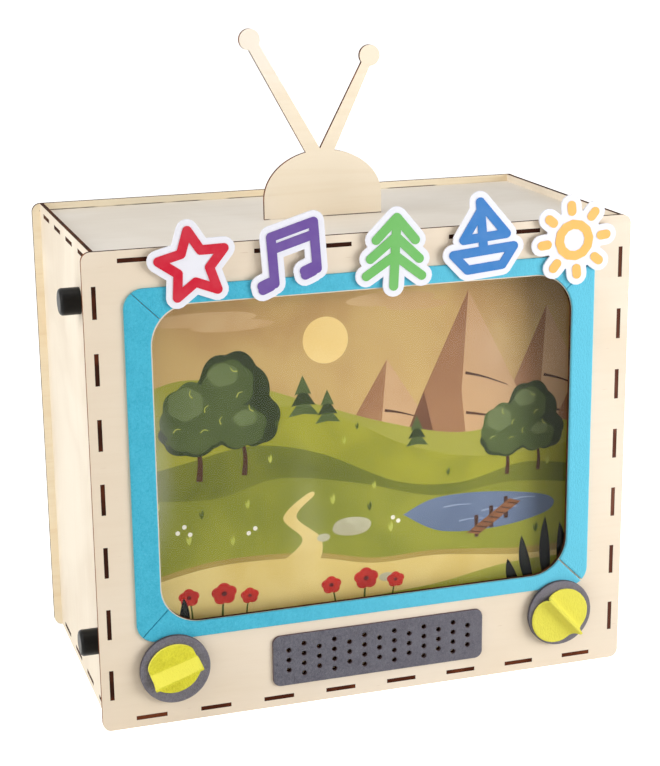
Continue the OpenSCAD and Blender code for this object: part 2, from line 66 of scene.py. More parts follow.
FRONT_LEFT_X, FRONT_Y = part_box("front_panel")[0].xy


# Camera

IMAGE_H = 766
FOCAL_PX = 1814.4
SENSOR_MM = 36
CAMERA_AT = Vector((-0.3997, FRONT_Y - 1.1653, 0.5739))
YAW, PITCH, ROLL = math.radians(17.68), math.radians(15.34), math.radians(-0.68)
CENTRE_OFF_PX = (1.2, 1.4)


def make_camera():
    data = bpy.data.cameras.new("camera")
    data.sensor_width = SENSOR_MM
    data.lens = FOCAL_PX * SENSOR_MM / IMAGE_H
    data.shift_x = -CENTRE_OFF_PX[0] / IMAGE_H
    data.shift_y = CENTRE_OFF_PX[1] / IMAGE_H
    data.clip_start, data.clip_end = 0.05, 60
    ahead = Vector((math.sin(YAW) * math.cos(PITCH), math.cos(YAW) * math.cos(PITCH), -math.sin(PITCH)))
    right = ahead.cross(Vector((0, 0, 1))).normalized()
    up = right.cross(ahead)
    c, s = math.cos(ROLL), math.sin(ROLL)
    axes = (c * right + s * up, c * up - s * right, -ahead)
    camera = bpy.data.objects.new("camera", data)
    camera.matrix_world = Matrix.Translation(CAMERA_AT) @ Matrix(axes).transposed().to_4x4()
    bpy.context.scene.collection.objects.link(camera)
    bpy.context.scene.camera = camera


# Node trees

def srgb(r, g, b):
    """A colour given as 0 to 255 on a screen, in linear light."""
    def linear(v):
        v /= 255
        return v / 12.92 if v <= 0.04045 else ((v + 0.055) / 1.055) ** 2.4
    return (linear(r), linear(g), linear(b), 1)


WHITE = (1, 1, 1, 1)


class Nodes:
    """A node tree with short names for the nodes that the finishes share."""

    def __init__(self, nt):
        self.nt = nt

    def feed(self, socket, value):
        """Links another node's output to the socket, or sets a plain value."""
        if isinstance(value, bpy.types.NodeSocket):
            self.nt.links.new(value, socket)
        else:
            socket.default_value = value

    def node(self, kind, inputs=(), **settings):
        n = self.nt.nodes.new("ShaderNode" + kind)
        for key, value in settings.items():
            setattr(n, key, value)
        for key, value in dict(inputs).items():
            self.feed(n.inputs[key], value)
        return n

    def place(self, shift=(0, 0, 0), scale=(1, 1, 1)):
        """Object coordinates in metres, scaled and shifted."""
        at = self.node("TexCoord").outputs["Object"]
        return self.node("Mapping", {"Vector": at, "Location": shift, "Scale": scale}).outputs[0]

    def noise(self, at, scale, detail, rough, warp=0.0):
        return self.node("TexNoise", {
            "Vector": at, "Scale": scale, "Detail": detail, "Roughness": rough, "Distortion": warp,
        }).outputs["Fac"]

    def ramp(self, fac, low, high, to_low=0.0, to_high=1.0):
        """Fac from low to high becomes to_low to to_high, smooth and kept within them."""
        return self.node("MapRange", {
            "Value": fac, "From Min": low, "From Max": high, "To Min": to_low, "To Max": to_high,
        }, interpolation_type="SMOOTHSTEP").outputs[0]

    def math(self, what, a, b=None):
        n = self.node("Math", operation=what)
        self.feed(n.inputs[0], a)
        if b is not None:
            self.feed(n.inputs[1], b)
        return n.outputs[0]

    def mix(self, fac, a, b):
        """Colour a where fac is 0 and colour b where it is 1."""
        return self.node("Mix", {0: fac, 6: a, 7: b}, data_type="RGBA").outputs[2]

    def axis(self, vector, name):
        return self.node("SeparateXYZ", {0: vector}).outputs[name]

    def bump(self, height, depth, strength):
        return self.node("Bump", {"Height": height, "Distance": depth, "Strength": strength}).outputs[0]


class Finish(Nodes):
    """A material's node tree with the one shader that a finish sets."""

    def __init__(self, name):
        self.material = bpy.data.materials.new(name)
        self.material.use_nodes = True
        super().__init__(self.material.node_tree)
        self.nt.nodes.clear()
        self.out = self.nt.nodes.new("ShaderNodeOutputMaterial")
        self.shader = self.nt.nodes.new("ShaderNodeBsdfPrincipled")
        self.nt.links.new(self.shader.outputs[0], self.out.inputs[0])

    def set(self, **inputs):
        for key, value in inputs.items():
            self.feed(self.shader.inputs[key.replace("_", " ")], value)


# Wood

CHAR = srgb(54, 30, 19)
CHAR_LIGHT = srgb(96, 54, 30)
# Char on the tabs' ends in three tones: the darker default, which the left side keeps; the right side's
# paler one and the bottom's lighter, redder one, whose lightness is painted light that falls stronger there
DARK_ENDS = srgb(50, 23, 13), srgb(90, 42, 23)
LIT_RED_ENDS = srgb(72, 31, 15), srgb(106, 54, 31)
LIT_ENDS = srgb(90, 52, 40), srgb(122, 78, 62)
RIM_CHAR = srgb(130, 78, 48)
# Between these places the rim's char gives way to the common one
RIM_FROM, RIM_TO = FRONT_LEFT_X + 3 * MM, FRONT_LEFT_X + 4.5 * MM
PALE, WARM, STREAK = srgb(239, 224, 204), srgb(233, 216, 193), srgb(212, 186, 152)
FLECK = srgb(176, 134, 92)


def plywood(name, face, grain, seed, pale=PALE, warm=WARM, streak=STREAK, figure=0.07,
            char=(CHAR, CHAR_LIGHT), ends=DARK_ENDS, rim=None, joint_char_and_shade=None):
    """Bare plywood: veneer on the faces square to `face`, and laser-charred plies on the cut edges. figure
    is how much of the grain shows, ends are the tones of its tabs' ends, which carry painted light, and rim
    is the char of the left outer edge. joint_char_and_shade is the top panel's upper corner: a broken dark
    line, char and painted shade of the joint, runs at its height, as far out as it lies on both sides, over
    the faces that look to the front."""
    t = Finish(name)
    shift = (seed * 1.7, seed * 2.3, seed * 3.1)
    long_way = [1, 1, 1]
    long_way["XYZ".index(grain)] = 0.06
    at = t.place(shift)
    along = t.place(shift, long_way)
    cloud = t.ramp(t.noise(at, 7, 3, 0.5, 0.5), 0.36, 0.66)
    bands = t.ramp(t.noise(along, 90, 3, 0.55, 1.4), 0.44, 0.72)
    fine = t.ramp(t.noise(along, 520, 2, 0.6), 0.5, 0.75)
    fleck_way = [1, 1, 1]
    fleck_way["XYZ".index(grain)] = 0.12
    fleck = t.ramp(t.noise(t.place(shift, fleck_way), 700, 1, 0.5), 0.76, 0.84, 0, 0.22)
    veneer = t.mix(cloud, pale, warm)
    veneer = t.mix(t.math("MULTIPLY", bands, figure), veneer, streak)
    veneer = t.mix(t.math("MULTIPLY", fine, 0.4 * figure), veneer, streak)
    veneer = t.mix(fleck, veneer, FLECK)
    normal = t.node("TexCoord").outputs["Normal"]
    # A broken dark line along the top panel's upper corner: char and painted shade of the joint
    if joint_char_and_shade:
        broken = t.ramp(t.noise(t.place(shift, (1, 0, 0)), 26, 2, 0.5), 0.45, 0.55, 0.1, 0.9)
        off = t.math("ABSOLUTE", t.math("SUBTRACT", t.axis(t.place(), "Z"), joint_char_and_shade.z))
        across = t.ramp(t.math("ABSOLUTE", t.axis(t.place(), "X")), joint_char_and_shade.x, joint_char_and_shade.x + MM, 1, 0)
        across = t.math("MULTIPLY", across, t.math("LESS_THAN", t.axis(normal, "Y"), 0.0))
        near = t.math("MULTIPLY", t.ramp(off, 0.4 * MM, 0.9 * MM, 1, 0), across)
        veneer = t.mix(t.math("MULTIPLY", near, broken), veneer, CHAR)

    square = t.math("ABSOLUTE", t.axis(normal, face))
    cut = t.ramp(square, 0.55, 0.75, 1, 0)
    burn = t.ramp(t.noise(at, 55, 3, 0.7, 1.0), 0.4, 0.72)
    charred = t.mix(burn, *char)
    if rim:
        charred = t.mix(t.ramp(t.axis(t.place(), "X"), RIM_FROM, RIM_TO, 1, 0), charred, rim)
    # The tabs' ends take their panel's tones, which carry painted light
    if face != "Y":
        end = t.mix(t.ramp(t.noise(at, 45, 2, 0.5), 0.46, 0.7), *ends)
        charred = t.mix(t.ramp(t.math("ABSOLUTE", t.axis(normal, "Y")), 0.6, 0.9), charred, end)
    t.set(
        Base_Color=t.mix(cut, veneer, charred),
        Roughness=t.ramp(cut, 0, 1, 0.55, 0.85),
        Specular_IOR_Level=t.ramp(cut, 0, 1, 0.27, 0.1),
        Normal=t.bump(t.math("ADD", bands, fine), 0.00008, 0.3),
    )
    return t.material


def dowel_wood():
    t = Finish("dowel_wood")
    along = t.place((3, 5, 1), (0.04, 1, 1))
    grain = t.ramp(t.noise(along, 420, 3, 0.6), 0.4, 0.7)
    t.set(
        Base_Color=t.mix(grain, srgb(226, 196, 150), srgb(196, 158, 108)),
        Roughness=0.6,
        Normal=t.bump(grain, 0.0001, 0.4),
    )
    return t.material


# Felt, rubber, card, metal and the clear sheet

# Between these places across the front, in metres, the felt's colour turns lighter: painted light, which
# falls stronger on the right
PAINTED_LIGHT_FROM, PAINTED_LIGHT_TO = -0.17, 0.19
# How far in front of a card's face its ink starts
INK_EDGE = 0.05 * MM


def felt(name, base, dark, light, rim, painted_light_tone, painted_light_share=0.75, cut=None, painted_highlight=None):
    """Pressed felt: cloudy colour, short matted fibres and a paler fuzz, rim, where the surface turns away.
    Its colour turns into painted_light_tone by the share painted_light_share from left to right across the
    front, as painted light that falls stronger on the right. cut is the colour of its scorched edges, and
    painted_highlight the one painted as a highlight on a slope that faces up and left."""
    t = Finish(name)
    at = t.place((0.4, 0.2, 0.7))
    cloud = t.ramp(t.noise(at, 70, 3, 0.6), 0.35, 0.7)
    matted = t.noise(at, 800, 4, 0.75, 2.5)
    fibre = t.node("TexVoronoi", {"Vector": t.place((0.1, 0.3, 0), (1, 1, 0.35)), "Scale": 1100.0},
                   distance="MANHATTAN").outputs["Distance"]
    speck = t.ramp(t.noise(at, 1300, 2, 0.6, 1.0), 0.66, 0.78)
    pit = t.ramp(t.noise(t.place((7, 3, 5)), 1050, 2, 0.6, 1.0), 0.64, 0.78)
    colour = t.mix(t.math("MULTIPLY", cloud, 0.6), base, dark)
    colour = t.mix(t.ramp(matted, 0.35, 0.7, 0, 0.7), colour, light)
    colour = t.mix(t.math("MULTIPLY", speck, 0.6), colour, rim)
    colour = t.mix(t.math("MULTIPLY", pit, 0.7), colour, dark)
    blot = t.ramp(t.noise(t.place((2, 9, 4), (1, 1, 0.6)), 380, 2, 0.6, 0.8), 0.6, 0.74)
    colour = t.mix(t.math("MULTIPLY", blot, 0.5), colour, dark)
    heather = t.noise(t.place((5, 1, 8)), 560, 3, 0.85, 0.6)
    colour = t.mix(t.ramp(heather, 0.36, 0.48, 0.45, 0), colour, dark)
    colour = t.mix(t.ramp(heather, 0.52, 0.66, 0, 0.5), colour, light)
    # Painted light: the felt's colour turns lighter from left to right across the front
    colour = t.mix(t.ramp(t.axis(t.place(), "X"), PAINTED_LIGHT_FROM, PAINTED_LIGHT_TO, 0, painted_light_share), colour, painted_light_tone)
    normal = t.node("TexCoord").outputs["Normal"]
    if cut:
        colour = t.mix(t.ramp(t.math("ABSOLUTE", t.axis(normal, "Y")), 0.25, 0.7, 0.9, 0), colour, cut)
    # Painted highlight: slopes that face up and left turn lighter, where light from above and left falls on
    # them
    if painted_highlight:
        slope = t.math("SUBTRACT", t.axis(normal, "Z"), t.axis(normal, "X"))
        colour = t.mix(t.ramp(slope, 0.3, 0.6, 0, 0.9), colour, painted_highlight)
    height = t.math("ADD", matted, t.math("MULTIPLY", fibre, 0.5))
    t.set(
        Base_Color=colour, Roughness=0.95, Specular_IOR_Level=0.15,
        Sheen_Weight=0.25, Sheen_Roughness=0.5, Sheen_Tint=rim,
        Normal=t.bump(height, 0.0005, 0.6),
    )
    return t.material


def rubber():
    t = Finish("cap_rubber")
    dust = t.ramp(t.noise(t.place(), 260, 4, 0.7), 0.5, 0.8)
    t.set(
        Base_Color=t.mix(dust, srgb(13, 12, 11), srgb(22, 21, 19)),
        Roughness=t.ramp(dust, 0, 1, 0.36, 0.5), Specular_IOR_Level=0.16,
        Normal=t.bump(t.noise(t.place(), 2600, 2, 0.5), 0.00006, 0.4),
    )
    return t.material


def printed_card(name, ink, card_front_y):
    """White card whose raised strokes, in front of the card's face, carry the colour."""
    t = Finish(name)
    raised = t.math("LESS_THAN", t.axis(t.place(), "Y"), card_front_y - INK_EDGE)
    tone = t.ramp(t.noise(t.place((1, 2, 3)), 60, 3, 0.6), 0.3, 0.75, 0, 0.03)
    inked = t.mix(tone, ink, WHITE)
    t.set(
        Base_Color=t.mix(raised, srgb(238, 238, 246), inked),
        Roughness=0.5, Specular_IOR_Level=0.2,
        Normal=t.bump(t.noise(t.place(), 1500, 2, 0.6), 0.00004, 0.3),
    )
    return t.material


def foam():
    t = Finish("pad_foam")
    cells = t.node("TexVoronoi", {"Vector": t.place(), "Scale": 1800.0}).outputs["Distance"]
    t.set(Base_Color=t.mix(cells, srgb(214, 214, 216), srgb(244, 244, 246)), Roughness=0.9,
          Normal=t.bump(cells, 0.0002, 0.6))
    return t.material


def pin_metal():
    t = Finish("pin_metal")
    scratch = t.noise(t.place((0, 0, 0), (1, 0.05, 1)), 2400, 3, 0.6)
    t.set(Base_Color=t.mix(scratch, srgb(168, 170, 174), srgb(208, 210, 213)), Metallic=1.0,
          Roughness=t.ramp(scratch, 0.3, 0.7, 0.3, 0.45))
    return t.material


def clear_sheet():
    """Thin clear plastic that lets lamps through, so that the picture behind it is lit."""
    t = Finish("clear_sheet")
    wave = t.noise(t.place(), 14, 2, 0.5, 0.8)
    haze = t.ramp(t.noise(t.place((0.13, 0.2, 0.31), (1, 1, 0.4)), 9, 1, 0.4), 0.58, 0.8)
    t.set(
        Base_Color=WHITE, Transmission_Weight=1.0, Roughness=0.02,
        IOR=t.ramp(haze, 0, 1, 1.16, 1.6),
        Normal=t.bump(wave, 0.002, 0.15),
    )
    open_to_lamps = t.node("BsdfTransparent", {"Color": (0.97, 0.975, 0.97, 1)}).outputs[0]
    is_shadow = t.node("LightPath").outputs["Is Shadow Ray"]
    mixed = t.node("MixShader", {0: is_shadow, 1: t.shader.outputs[0], 2: open_to_lamps})
    t.feed(t.out.inputs[0], mixed.outputs[0])
    return t.material


def plain_paper():
    t = Finish("picture_paper")
    fibre = t.noise(t.place(), 900, 4, 0.7)
    t.set(Base_Color=t.mix(fibre, srgb(206, 198, 170), srgb(226, 220, 200)), Roughness=0.7,
          Normal=t.bump(fibre, 0.00008, 0.3))
    return t.material


# Studio

WORLD_TINT = (1.0, 0.987, 0.963, 1)
WORLD_LIGHT = 0.41
FLOOR_TONES = (0.80, 0.80, 0.80, 1), (0.84, 0.84, 0.84, 1)
FLOOR_GLOW = 0.75
FLOOR_HALF = 30


def shows_background(t):
    """1 for the rays that show the white background, straight on, mirrored or through the sheet, and 0 for
    those that light a surface."""
    path = t.node("LightPath").outputs
    seen = t.math("MAXIMUM", path["Is Camera Ray"], path["Is Glossy Ray"])
    seen = t.math("MAXIMUM", seen, path["Is Transmission Ray"])
    return t.math("GREATER_THAN", seen, path["Diffuse Depth"])


def make_world():
    """A dim warm light all round, which is pure white where it is seen."""
    world = bpy.data.worlds.new("studio")
    bpy.context.scene.world = world
    world.use_nodes = True
    t = Nodes(world.node_tree)
    back = t.nt.nodes["Background"].inputs
    seen = shows_background(t)
    t.feed(back["Color"], t.mix(seen, WORLD_TINT, WHITE))
    t.feed(back["Strength"], t.ramp(seen, 0, 1, WORLD_LIGHT, 1))


def make_floor():
    """A wide pale floor that glows only where it is seen, so that it ends in the white of the world."""
    t = Finish("floor")
    t.set(Base_Color=t.mix(t.noise(t.place(), 35, 3, 0.6), *FLOOR_TONES), Roughness=0.9)
    glow = t.math("MULTIPLY", shows_background(t), FLOOR_GLOW)
    glow = t.node("Emission", {"Color": WHITE, "Strength": glow})
    both = t.node("AddShader", {0: t.shader.outputs[0], 1: glow.outputs[0]})
    t.feed(t.out.inputs[0], both.outputs[0])
    corners = [(x * FLOOR_HALF, y * FLOOR_HALF, 0) for x, y in ((-1, -1), (1, -1), (1, 1), (-1, 1))]
    floor = add_mesh("floor", corners, [(0, 1, 2, 3)], [t.material], smooth=False)


def softbox(name, at, aim, size, power, colour):
    data = bpy.data.lights.new(name, "AREA")
    data.shape = "SQUARE"
    data.size = size
    data.energy = power
    data.color = colour
    lamp = bpy.data.objects.new(name, data)
    lamp.location = at
    lamp.rotation_euler = (Vector(aim) - Vector(at)).to_track_quat("-Z", "Y").to_euler()
    bpy.context.scene.collection.objects.link(lamp)


def make_studio():
    bpy.context.scene.view_settings.view_transform = "Standard"
    make_world()
    make_floor()
    softbox("key", (1.08, -1.0, 0.24), (0.06, -0.1, 0.12), 0.95, 19.4, (0.976, 0.986, 1.0))
    softbox("side", (-1.5, -0.26, 0.8), (-0.2, 0, 0.15), 1.0, 12, (1.0, 0.99, 0.955))
    softbox("fill", (-0.5, -0.1, 2.0), (-0.1, 0, 0.3), 1.0, 8.0, (1.0, 0.995, 0.98))


# Dressing the CAD nodes

def dress(node, material):
    obj = nodes[node]
    obj.data.materials.clear()
    obj.data.materials.append(material)


SIDE_TONE = dict(pale=srgb(247, 236, 218), warm=srgb(232, 218, 198))
# The top panel's paler, greyer veneer is its own tone and painted reflection: the white sheen it shows at a
# grazing angle
TOP_TONE_AND_SHEEN = dict(pale=srgb(244, 237, 227), warm=srgb(234, 225, 212), streak=srgb(210, 197, 181))
BACK_TONE = dict(pale=srgb(255, 244, 219), warm=srgb(254, 235, 200), streak=srgb(229, 199, 155), figure=0.2)
ANTENNA_TONE = dict(pale=srgb(251, 240, 224), warm=srgb(249, 235, 211), streak=srgb(232, 210, 174),
                    figure=0.16, char=(srgb(84, 46, 28), srgb(140, 86, 54)))


def dress_cabinet():
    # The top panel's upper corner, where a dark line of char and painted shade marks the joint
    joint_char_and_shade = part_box("top_panel")[1]
    dress("front_panel", plywood("front_ply", "Y", "X", 1.0, rim=RIM_CHAR))
    dress("back_panel", plywood("back_ply", "Y", "X", 2.0, joint_char_and_shade=joint_char_and_shade, **BACK_TONE))
    dress("left_side_panel", plywood("left_ply", "X", "Z", 3.0, **SIDE_TONE))
    dress("right_side_panel", plywood("right_ply", "X", "Z", 4.0, ends=LIT_ENDS, **SIDE_TONE))
    dress("top_panel", plywood("top_ply", "Z", "X", 5.0, **TOP_TONE_AND_SHEEN))
    dress("bottom_panel", plywood("bottom_ply", "Z", "X", 6.0, ends=LIT_RED_ENDS))
    dress("antenna", plywood("antenna_ply", "Y", "X", 7.0, joint_char_and_shade=joint_char_and_shade, **ANTENNA_TONE))
    dress("window_sheet", clear_sheet())
    paper = plain_paper()
    wood = dowel_wood()
    black = rubber()
    for roller in ("upper", "lower"):
        dress(roller + "_dowel", wood)
        dress(roller + "_paper_roll", paper)
        dress(roller + "_left_cap", black)
        dress(roller + "_right_cap", black)
    dress("story_scroll", paper)
    metal = pin_metal()
    for node in ("dial_washers", "left_dial_pin", "left_dial_clip", "right_dial_pin", "right_dial_clip"):
        dress(node, metal)
    dress("badge_pads", foam())


BADGE_INKS = {
    "star_badge": srgb(206, 20, 50),
    "notes_badge": srgb(106, 76, 154),
    "tree_badge": srgb(112, 186, 98),
    "boat_badge": srgb(54, 124, 194),
    "sun_badge": srgb(246, 188, 100),
}
RELIEF = 0.5 * MM


def dress_badges():
    for node, ink in BADGE_INKS.items():
        front_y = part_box(node)[0].y
        dress(node, printed_card(node + "_card", ink, front_y + RELIEF))


# Felt pieces, built on the outlines of the CAD nodes that they replace

# In each felt, the lighter tone that its colour turns into towards the right is painted light; the yellow
# felt also has a tone painted as a highlight on its slopes that face up and left
BLUE_FELT = felt(
    "blue_felt", base=srgb(70, 183, 212), dark=srgb(52, 164, 195), light=srgb(92, 199, 226),
    rim=srgb(160, 226, 242), painted_light_tone=srgb(112, 204, 229))
SPEAKER_FELT = felt(
    "speaker_felt", base=srgb(99, 98, 106), dark=srgb(71, 69, 79), light=srgb(128, 127, 137),
    rim=srgb(172, 170, 178), painted_light_tone=srgb(112, 108, 116), painted_light_share=0.5, cut=srgb(92, 54, 50))
DISC_FELT = felt(
    "disc_felt", base=srgb(115, 111, 119), dark=srgb(90, 86, 94), light=srgb(140, 137, 145),
    rim=srgb(176, 174, 182), painted_light_tone=srgb(122, 117, 124), painted_light_share=0.5, cut=srgb(62, 56, 60))
YELLOW_FELT = felt(
    "yellow_felt", base=srgb(227, 220, 58), dark=srgb(196, 188, 44), light=srgb(238, 231, 76),
    rim=srgb(250, 246, 140), painted_light_tone=srgb(232, 222, 96), painted_highlight=srgb(249, 240, 96))

# Spacing of the points along an outline and inside it, and the reach of a rounded edge
FELT_STEP = 1.2 * MM
FELT_GRID = 3.0 * MM
FELT_EDGE = 0.7 * MM
# Rings of a rounded front edge: how far in and how deep each lies, as shares of FELT_EDGE
EDGE_ROUND = ((0, 1), (0.3, 0.3), (1, 0))
# Depth and pitch of a rim's fraying and of a face's waves, and the layer of noise that the waves come from
FRAY, FRAY_PITCH = 0.14 * MM, 3.1 * MM
WAVE, WAVE_PITCH = 0.12 * MM, 9 * MM
PLATE_WAVES, DISC_WAVES = 1.7, 4.1 * MM
# Points nearer than these count as one, in a node's mesh and between triangles
TINY = 1e-6
FILL_NEAR = 1e-9


def add_mesh(name, verts, faces, materials, face_inks=None, smooth=True):
    mesh = bpy.data.meshes.new(name)
    mesh.from_pydata([tuple(v) for v in verts], [], [tuple(int(i) for i in f) for f in faces])
    for material in materials:
        mesh.materials.append(material)
    if face_inks is not None:
        mesh.polygons.foreach_set("material_index", face_inks)
    if smooth:
        mesh.shade_smooth()
    mesh.validate()
    obj = bpy.data.objects.new(name, mesh)
    bpy.context.scene.collection.objects.link(obj)
    return obj


def middle(node):
    low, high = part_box(node)
    return (low + high) / 2


def box_size(node):
    low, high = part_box(node)
    return high.x - low.x, high.z - low.z


def face_loops(node, face_y):
    """Outlines of a node's flat face at y = face_y, as loops of (x, z), the outer one first."""
    bm = bmesh.new()
    bm.from_mesh(nodes[node].data)
    bmesh.ops.remove_doubles(bm, verts=bm.verts, dist=TINY)
    flat = {f for f in bm.faces if all(abs(v.co.y - face_y) < TINY for v in f.verts)}
    ways = {}
    for face in flat:
        for loop in face.loops:
            if sum(f in flat for f in loop.edge.link_faces) == 1:
                ways[loop.vert.index] = loop.link_loop_next.vert.index
    bm.verts.ensure_lookup_table()
    loops = []
    while ways:
        at = next(iter(ways))
        loop = []
        while at in ways:
            co = bm.verts[at].co
            loop.append(Vector((co.x, co.z)))
            at = ways.pop(at)
        loops.append(loop)
    bm.free()
    loops.sort(key=lambda loop: -abs(loop_area(loop)))
    return [loop if (loop_area(loop) > 0) == (k == 0) else loop[::-1] for k, loop in enumerate(loops)]


def loop_area(loop):
    return sum(a.cross(b) for a, b in zip(loop, loop[1:] + loop[:1])) / 2


def resample(loop, step):
    """The loop with its corners kept and points about a step apart."""
    points = []
    for a, b in zip(loop, loop[1:] + loop[:1]):
        n = max(1, round((b - a).length / step))
        points += [a.lerp(b, k / n) for k in range(n)]
    return points


def inward(loop):
    """A unit step towards the left of the loop at each point, a little longer at corners."""
    steps = []
    for before, at, after in zip(loop[-1:] + loop[:-1], loop, loop[1:] + loop[:1]):
        a, b = (at - before).normalized(), (after - at).normalized()
        n = Vector((-a.y - b.y, a.x + b.x)).normalized()
        steps.append(n / max(0.6, n.dot(Vector((-a.y, a.x)))))
    return steps


def inside(points, loops):
    """For each point, whether it lies inside the loops, with their holes left out."""
    p = np.asarray(points, float).reshape(-1, 2)
    odd = np.zeros(len(p), bool)
    for loop in loops:
        for a, b in zip(loop, [*loop[1:], loop[0]]):
            if a[1] != b[1]:
                reach = (b[0] - a[0]) * (p[:, 1] - a[1]) / (b[1] - a[1]) + a[0]
                odd ^= ((a[1] > p[:, 1]) != (b[1] > p[:, 1])) & (p[:, 0] < reach)
    return odd


def join(loops):
    """The loops' points in one list, and the pairs of them that the loops' edges join."""
    points = [Vector(p) for loop in loops for p in loop]
    edges, start = [], 0
    for loop in loops:
        n = len(loop)
        edges += [(start + k, start + (k + 1) % n) for k in range(n)]
        start += n
    return points, edges


def triangulate(loops, extra, near):
    """Triangles between the loops' points and the extra ones, with the loops' edges kept: (points,
    triangles, middle of each triangle, source of each point)."""
    points, edges = join(loops)
    co, _, tris, source, _, _ = geometry.delaunay_2d_cdt(points + extra, edges, [], 0, near)
    middles = np.array([(co[a] + co[b] + co[c]) / 3 for a, b, c in tris])
    return co, tris, middles, [s[0] if s else None for s in source]


def fill(loops, grid):
    """Triangles inside the loops, with points of a grid between if its pitch is given: (points, triangles,
    source of each point)."""
    extra = []
    if grid:
        xs, ys = zip(*(p for loop in loops for p in loop))
        columns = np.arange(min(xs) + grid / 2, max(xs), grid)
        rows = np.arange(min(ys) + grid / 2, max(ys), grid)
        spots = [(x + (k % 2) * grid / 2, y) for k, y in enumerate(rows) for x in columns]
        extra = [Vector(p) for p, ok in zip(spots, inside(spots, loops)) if ok]
    co, tris, middles, source = triangulate(loops, extra, FILL_NEAR)
    return co, [t for t, ok in zip(tris, inside(middles, loops)) if ok], source


def wall(edges, count, rings):
    """Quads along the edges, from each ring of count points to the next."""
    return [
        (r * count + a, r * count + b, (r + 1) * count + b, (r + 1) * count + a)
        for r in range(rings - 1) for a, b in edges
    ]


def cover(verts, faces, loops, start, place, grid=None):
    """Adds triangles inside the loops, whose points are in verts from start on. place turns a new point of
    the flat felt into one in space."""
    count = sum(len(loop) for loop in loops)
    co, tris, source = fill(loops, grid)
    index = []
    for p, s in zip(co, source):
        if s is not None and s < count:
            index.append(start + s)
        else:
            index.append(len(verts))
            verts.append(place(p))
    faces += [tuple(index[i] for i in t) for t in tris]


def uneven(x, z, layer):
    """How far a felt face sinks in at a place on it."""
    return WAVE * (0.5 + 0.5 * noise.noise(Vector((x, z, layer)) / WAVE_PITCH))


def felt_plate(node, material):
    """A flat piece of felt on a node's outline: frayed rim, rounded front edge and gently uneven face."""
    low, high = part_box(node)
    loops = [resample(loop, FELT_STEP) for loop in face_loops(node, low.y)]
    points, edges = join(loops)
    steps = [step for loop in loops for step in inward(loop)]
    frays = [FRAY * max(0.0, noise.noise(Vector((p.x, p.y, 0.3)) / FRAY_PITCH)) for p in points]
    verts, rings = [], []
    for inset, y in [(0, high.y)] + [(inset, low.y + depth * FELT_EDGE) for inset, depth in EDGE_ROUND]:
        ring = [p + step * (inset * FELT_EDGE + fray * (2 - inset) / 2)
                for p, step, fray in zip(points, steps, frays)]
        rings.append(ring)
        verts += [Vector((p.x, y, p.y)) for p in ring]
    faces = wall(edges, len(points), len(rings))

    def split(ring):
        ends = np.cumsum([len(loop) for loop in loops])
        return [ring[end - len(loop):end] for loop, end in zip(loops, ends)]

    def on_front(p):
        return Vector((p.x, low.y + uneven(p.x, p.y, PLATE_WAVES), p.y))

    def on_back(p):
        return Vector((p.x, high.y, p.y))

    cover(verts, faces, split(rings[-1]), (len(rings) - 1) * len(points), on_front, FELT_GRID)
    cover(verts, faces, split(rings[0]), 0, on_back)
    obj = add_mesh(node + "_cloth", verts, faces, [material])
    area = sum(loop_area(loop) for loop in loops)
    finish_felt(obj, node, area)


def finish_felt(obj, node, area):
    bm = bmesh.new()
    bm.from_mesh(obj.data)
    bmesh.ops.recalc_face_normals(bm, faces=bm.faces)
    bm.to_mesh(obj.data)
    bm.free()
    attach(obj, nodes[node]["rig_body"])
    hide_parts(node)


DISC_SIDES = 120
DISC_RINGS = 9
PIN_BORE = 2 * MM
PIN_SEAT = 1.2 * MM


def felt_disc(side):
    """A thick felt disc with its pin's bore and the shallow seat of the pin's head."""
    node = side + "_dial_disc"
    low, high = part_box(node)
    centre = middle(node)
    radius, seat = box_size(node)[0] / 2, box_size(side + "_dial_pin")[0] / 2
    seat_y = low.y + PIN_SEAT
    r = FELT_EDGE
    profile = [(PIN_BORE, high.y), (radius - 0.4 * r, high.y), (radius, high.y - 0.4 * r),
               (radius, low.y + r), (radius - 0.3 * r, low.y + 0.3 * r)]
    profile += [(radius - r - (radius - r - seat) * k / DISC_RINGS, low.y) for k in range(DISC_RINGS + 1)]
    profile += [(seat, seat_y), (PIN_BORE, seat_y)]
    verts = []
    for rad, y in profile:
        for k in range(DISC_SIDES):
            a = math.tau * k / DISC_SIDES
            x, z = math.cos(a), math.sin(a)
            out = rad
            if rad > radius - 2 * r:
                out -= FRAY * (0.5 + 0.5 * noise.noise(Vector((x, z, y / radius)) * radius / FRAY_PITCH))
            sink = uneven(x * rad, z * rad, DISC_WAVES) if y == low.y else 0
            verts.append(Vector((centre.x + x * out, y + sink, centre.z + z * out)))
    n, m = len(profile), DISC_SIDES
    faces = [(i * m + k, i * m + (k + 1) % m, (i + 1) % n * m + (k + 1) % m, (i + 1) % n * m + k)
             for i in range(n) for k in range(m)]
    obj = add_mesh(node + "_cloth", verts, faces, [DISC_FELT])
    finish_felt(obj, node, math.pi * radius * radius)


# Grips: a round of felt folded up along its middle, its two layers pressed together in the ridge, in mm

GRIPS = {
    "left": dict(r=21.2, part=(-3.0, -3.0), crest=37.4, lean=6.7, angle=19.7, shift=(-1.0, 1.2),
                 halves=(2.2, 1.75), powers=(3.0, 8.0), flare=-0.47, slip=0.0),
    "right": dict(r=19.2, part=(4.4, 3.0), crest=40.6, lean=-1.4, angle=-48.7, shift=(0.4, -1.6),
                  halves=(2.0, 2.1), powers=(3.4, 3.0), flare=0.0, slip=-1.6),
}
GRIP_T = 2.0
RIDGE_H = 7.0
# Thickness of one layer in the ridge, and half the slit between the two
LAYER_T, SLIT = 1.9, 0.22
# How much nearer than the crest's end the edge is cut off straight, and how softly that cut's corner turns
PINCH, CORNER_EASE = 0.8, 1.2
